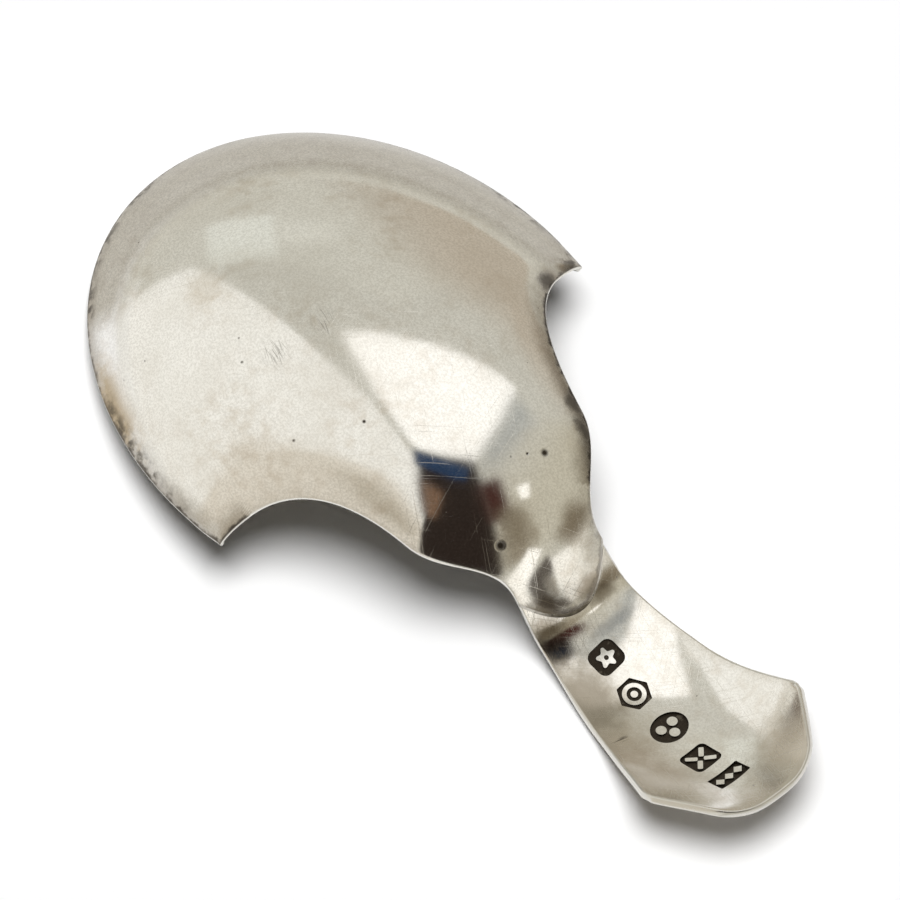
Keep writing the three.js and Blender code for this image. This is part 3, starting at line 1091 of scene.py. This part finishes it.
def handle_silver(groups):
    """Brighter worn polish, finely scratched, dull towards the edges, with dirt and a painted blue-grey shade
    band in the bend.
    """
    material, tree, place = new_material("handle_silver")
    spots = partial(stains, tree, groups, place)
    strokes = partial(scratches, tree, groups, place)
    cloudy = partial(clouds, tree, place)
    gap = stored(tree, "edge_gap")
    haze = masked(tree, groups["tarnish"], "Haze", place=place, edge_gap=gap, reach=0.9)
    line = masked(tree, groups["tarnish"], "Line", place=place, edge_gap=gap, line=0.2)
    fine = strokes(turns=(0.2, 0.9, 2.2), run=4.0, width=0.05, threshold=0.63)
    coarse = strokes(turns=(1.78,), run=3.2, width=0.13, threshold=0.56)
    deep = all_of(tree, coarse, spots(handle_strokes))
    specks = masked(tree, groups["specks"], place=place, spacing=1.3, size=0.08, share=0.35)
    cloud = cloudy(3.2, 0.42, 0.7)
    dull = spots(dull_patches)
    grain = cloudy(0.16, 0.34, 0.66)
    black = either(
        tree,
        spots([(centre, (handle_dot_size,) * 3, 0.4) for centre in handle_dots]),
        maths(tree, "MULTIPLY", specks, 0.5),
        maths(tree, "MULTIPLY", deep, 0.75),
        maths(tree, "MULTIPLY", line, stored(tree, "edge_soil")),
    )

    polish = blend(tree, grain, (0.83, 0.815, 0.78, 1), (0.96, 0.945, 0.91, 1))
    colour = coats(
        tree,
        polish,
        (cloud, 0.3, (0.78, 0.75, 0.68, 1)),
        (cloudy(0.9, 0.4, 0.8), 0.35, (0.64, 0.57, 0.48, 1)),
        (dull, 0.8, (0.48, 0.425, 0.34, 1)),
        (fine, 0.3, (0.60, 0.57, 0.51, 1)),
        (haze, 0.35, (0.55, 0.51, 0.44, 1)),
        # Painted shade: the blue-grey band across the bend.
        (spots(painted_bend_shade), 0.5, (0.32, 0.33, 0.35, 1)),
        (spots(grey_patches), 0.85, (0.31, 0.275, 0.22, 1)),
        (spots(brown_creases), 0.85, (0.2, 0.165, 0.12, 1)),
        (black, 1, (0.06, 0.05, 0.04, 1)),
        (stored(tree, "cut_edge"), 1, (0.68, 0.66, 0.61, 1)),
    )
    rough = mixed_sum(tree, 0.085, (cloud, 0.04), (haze, 0.08), (fine, 0.06), (black, 0.25), (dull, 0.14))
    height = mixed_sum(tree, 0.0, (grain, 0.12), (fine, -1.0), (deep, -4.0), (specks, -2.0))
    finish_silver(tree, colour, rough, height, bump_strength=0.25, bump_depth=0.004)
    return material


def solder_silver(groups):
    """Dull grey silver solder with dark pores."""
    material, tree, place = new_material("solder")
    pores = masked(tree, groups["specks"], place=place, spacing=0.5, size=0.08, share=0.5)
    fine = scratches(tree, groups, place, turns=(0.4, 1.9), run=2.0, width=0.06, threshold=0.62)
    cloud = clouds(tree, place, 0.8, 0.35, 0.7)
    colour = blend(tree, cloud, (0.58, 0.55, 0.49, 1), (0.30, 0.275, 0.23, 1))
    colour = coats(tree, colour, (pores, 0.8, (0.06, 0.05, 0.04, 1)))
    rough = mixed_sum(tree, 0.30, (cloud, 0.12), (pores, 0.2), (fine, 0.05))
    height = mixed_sum(tree, cloud, (pores, -2.0), (fine, -1.0))
    finish_silver(tree, colour, rough, height, bump_strength=0.3, bump_depth=0.01)
    return material


def blackened_silver():
    """Dark sulphide at the bottom of the punch marks, worn through in places."""
    material, tree, place = new_material("blackened_silver")
    grain = noise(tree, place, 0.12)
    colour = blend(tree, grain, (0.035, 0.028, 0.022, 1), (0.085, 0.07, 0.055, 1))
    colour = coats(tree, colour, (clouds(tree, place, 0.5, 0.58, 0.75), 0.5, (0.30, 0.27, 0.22, 1)))
    rough = mixed_sum(tree, 0.5, (grain, 0.2))
    finish_silver(tree, colour, rough, grain, bump_strength=0.4, bump_depth=0.01)
    return material


# The table in metres: half its size, where its white ends, and where the painted shade of grey on its far
# right begins.
table_size = 3.0
white_fade = (0.052, 0.09)
right_fade = (-0.06, -0.02)
slant_fade = (-0.03, 0.0)
slant = camera_right * 0.64 - picture_near * 0.77


def white_table():
    """The table, white round the spoon, with the light's fall-off painted in farther off: a pale grey, and a
    darker painted shade on its far right.
    """
    mesh = bpy.data.meshes.new("table")
    corners = [(x * table_size, y * table_size, 0) for x, y in ((-1, -1), (1, -1), (1, 1), (-1, 1))]
    mesh.from_pydata(corners, [], [(0, 1, 2, 3)])
    table = new_object("table", mesh)
    material, tree, place = new_material("table_white")
    far = vectors(tree, "LENGTH", place, socket="Value")
    sideways = vectors(tree, "DOT_PRODUCT", place, camera_right, socket="Value")
    slanted = vectors(tree, "DOT_PRODUCT", place, slant, socket="Value")
    # Painted shade: the far table turns darker grey to the right and along the slant.
    far_right_shade = either(tree, fade(tree, sideways, *right_fade), fade(tree, slanted, *slant_fade))
    outer = blend(tree, far_right_shade, (0.88, 0.87, 0.83, 1), (0.62, 0.6, 0.53, 1))
    pale = blend(tree, fade(tree, far, *white_fade), (0.955, 0.955, 0.955, 1), outer)
    shader = tree.nodes["Principled BSDF"].inputs
    tree.links.new(pale, shader["Base Color"])
    shader["Roughness"].default_value = 0.9
    shader["Specular IOR Level"].default_value = 0
    mesh.materials.append(material)


# Five generic marks in a row along the handle, as (station, y).
mark_places = [(51.9, -0.74), (55.25, -0.95), (59.1, -0.92), (62.8, -1.15), (65.6, -0.9)]
mark_depth = 0.13
mark_size = 0.92
mark_turn = 0.1
drop_height = 20.0
cutter_height = 1.2
weld_reach = 0.001


def curve_shape(tree, curve, offset=(0, 0), turn=0, scale=(1, 1), corner=0):
    """A closed curve moved to its place in a mark, with its corners rounded."""
    if corner:
        inputs = {"Curve": curve, "Count": 5, "Radius": corner * MM, "Limit Radius": True}
        curve = output(tree, "GeometryNodeFilletCurve", inputs, mode="POLY")
    inputs = {
        "Geometry": curve,
        "Translation": (offset[0] * MM, offset[1] * MM, 0),
        "Rotation": (0, 0, turn),
        "Scale": (scale[0], scale[1], 1),
    }
    return output(tree, "GeometryNodeTransform", inputs)


def disc(tree, radius, sides=28, **place):
    inputs = {"Resolution": sides, "Radius": radius * MM}
    return curve_shape(tree, output(tree, "GeometryNodeCurvePrimitiveCircle", inputs), **place)


def bar(tree, width, height, **place):
    inputs = {"Width": width * MM, "Height": height * MM}
    return curve_shape(tree, output(tree, "GeometryNodeCurvePrimitiveQuadrilateral", inputs), **place)


def rosette(tree, inner, outer, **place):
    inputs = {"Points": 5, "Inner Radius": inner * MM, "Outer Radius": outer * MM}
    return curve_shape(tree, output(tree, "GeometryNodeCurveStar", inputs), **place)


def mark_curves(tree):
    """The outline and the raised motif of each mark."""
    eighth = math.pi / 4
    third = 2.094
    turns = [k * third + 0.5 for k in range(3)]
    pellets = [(0.72 * math.cos(turn), 0.6 * math.sin(turn)) for turn in turns]
    arms = [(0.56 * i, 0.5 * j, eighth * i * j) for i in (-1, 1) for j in (-1, 1)]
    return [
        [bar(tree, 2.7, 2.4, corner=0.7), rosette(tree, 0.5, 1.12, corner=0.16), disc(tree, 0.2)],
        [disc(tree, 1.46, 6, corner=0.15), disc(tree, 0.98), disc(tree, 0.62), disc(tree, 0.3)],
        [disc(tree, 1.68, 40, scale=(1, 0.84)), *(disc(tree, 0.44, offset=p) for p in pellets)],
        [
            bar(tree, 2.75, 2.5, corner=0.5),
            *(bar(tree, 1.0, 0.42, offset=(x, y), turn=turn, corner=0.1) for x, y, turn in arms),
        ],
        [
            bar(tree, 3.2, 1.7, corner=0.12),
            *(bar(tree, 0.64, 0.64, turn=eighth, offset=(k * 0.98, 0)) for k in (-1, 0, 1)),
        ],
    ]


def joined(tree, pieces):
    node = tree.nodes.new("GeometryNodeJoinGeometry")
    for piece in pieces:
        tree.links.new(piece, node.inputs[0])
    return node.outputs[0]


def mark_cutter(tree, curves, depth):
    """A closed solid of a mark's sunk ground, which reaches down by the depth and stands clear above."""
    ground = output(tree, "GeometryNodeFillCurve", {"Curve": joined(tree, curves)})
    inputs = {"Mesh": ground, "Offset Scale": cutter_height * MM, "Individual": False}
    walls = output(tree, "GeometryNodeExtrudeMesh", inputs, "Mesh", mode="FACES")
    floor = output(tree, "GeometryNodeFlipFaces", {"Mesh": ground})
    inputs = {"Geometry": joined(tree, [walls, floor]), "Distance": weld_reach * MM}
    merged = output(tree, "GeometryNodeMergeByDistance", inputs)
    down = output(tree, "ShaderNodeCombineXYZ", {"Z": maths(tree, "MULTIPLY", depth, -MM)})
    return output(tree, "GeometryNodeTransform", {"Geometry": merged, "Translation": down})


def punch_row_tree():
    """Drops each mark onto the handle along the row, turns it to the surface and cuts it in."""
    inputs = [
        ("Handle", "Geometry", None),
        ("Depth", "Float", mark_depth),
        ("Size", "Float", 1.0),
        ("Turn", "Float", 0.0),
        ("Silver", "Material", None),
        ("Black", "Material", None),
    ]
    tree, given, result = new_group("punch_row", "GeometryNodeTree", inputs, [("Handle", "Geometry")])
    marks = []
    for (station, y), curves in zip(mark_places, mark_curves(tree)):
        start = place_on_spoon(station, y, drop_height)
        point = output(tree, "GeometryNodePoints", {"Count": 1, "Position": start})
        rays = {"Target Geometry": given["Handle"], "Ray Direction": (0, 0, -1)}
        hit = add_node(tree, "GeometryNodeRaycast", rays).outputs
        facing = output(tree, "FunctionNodeAlignRotationToVector", {"Vector": hit["Hit Normal"]}, axis="Z")
        angle = maths(tree, "ADD", given["Turn"], math.pi / 2)
        spin = output(tree, "FunctionNodeAxisAngleToRotation", {"Axis": (0, 0, 1), "Angle": angle})
        turns = {"Rotation": facing, "Rotate By": spin}
        turned = output(tree, "FunctionNodeRotateRotation", turns, rotation_space="LOCAL")
        cutter = mark_cutter(tree, curves, given["Depth"])
        placed = {"Points": point, "Instance": cutter, "Rotation": turned, "Scale": given["Size"]}
        mark = output(tree, "GeometryNodeInstanceOnPoints", placed)
        dropped = {"Geometry": mark, "Position": hit["Hit Position"]}
        marks.append(output(tree, "GeometryNodeSetPosition", dropped))
    solid = output(tree, "GeometryNodeRealizeInstances", {"Geometry": joined(tree, marks)})
    solid = output(tree, "GeometryNodeSetMaterial", {"Geometry": solid, "Material": given["Black"]})
    inputs = {"Geometry": solid, "Name": "sunk", "Value": True}
    named = output(tree, "GeometryNodeStoreNamedAttribute", inputs, data_type="BOOLEAN", domain="FACE")
    inputs = {"Mesh 1": given["Handle"], "Mesh 2": named}
    cut = output(tree, "GeometryNodeMeshBoolean", inputs, "Mesh", solver="EXACT")
    whole = output(tree, "GeometryNodeRealizeInstances", {"Geometry": cut})
    sunk = output(tree, "GeometryNodeInputNamedAttribute", {"Name": "sunk"}, data_type="BOOLEAN")
    left = output(tree, "FunctionNodeBooleanMath", {0: sunk}, operation="NOT")
    inputs = {"Geometry": whole, "Selection": left, "Material": given["Silver"]}
    tree.links.new(output(tree, "GeometryNodeSetMaterial", inputs), result.inputs["Handle"])
    return tree


def shaped_by_tree(piece, tree, **inputs):
    """Runs a geometry tree on a piece and keeps the result as its plain mesh."""
    modifier = piece.modifiers.new(tree.name, "NODES")
    modifier.node_group = tree
    identifiers = {item.name: item.identifier for item in tree.interface.items_tree if item.in_out == "INPUT"}
    for name, value in inputs.items():
        modifier[identifiers[name.replace("_", " ").title()]] = value
    graph = bpy.context.evaluated_depsgraph_get()
    shaped = piece.evaluated_get(graph)
    mesh = bpy.data.meshes.new_from_object(shaped, preserve_all_data_layers=True, depsgraph=graph)
    piece.modifiers.remove(modifier)
    mesh.name = piece.name
    piece.data = mesh


(bowl, bowl_edge), (handle, handle_edge), (solder, solder_edge) = spoon_sheets()
groups = {
    "scratches": fine_scratches_group(),
    "tarnish": rim_tarnish_group(),
    "specks": specks_group(),
    "stain": stain_group(),
}
bowl.data.materials.append(bowl_silver(groups))
solder.data.materials.append(solder_silver(groups))
silver = handle_silver(groups)
handle.data.materials.append(silver)
black = blackened_silver()
shaped_by_tree(handle, punch_row_tree(), silver=silver, black=black, size=mark_size, turn=mark_turn)
handle.data.set_sharp_from_angle(angle=crisp_angle)
for piece, edge in ((bowl, bowl_edge), (handle, handle_edge), (solder, solder_edge)):
    mark_edges(piece.data, edge, piece is bowl)

for piece, node, slot in (
    (bowl, "bowl", "bowl_silver"),
    (handle, "handle", "handle_silver"),
    (solder, "solder_seam", "solder"),
):
    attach(piece, "root")
    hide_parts(node)
photograph_camera()
white_table()
studio_room()
studio_lamps()
bpy.context.scene.view_settings.view_transform = "Standard"
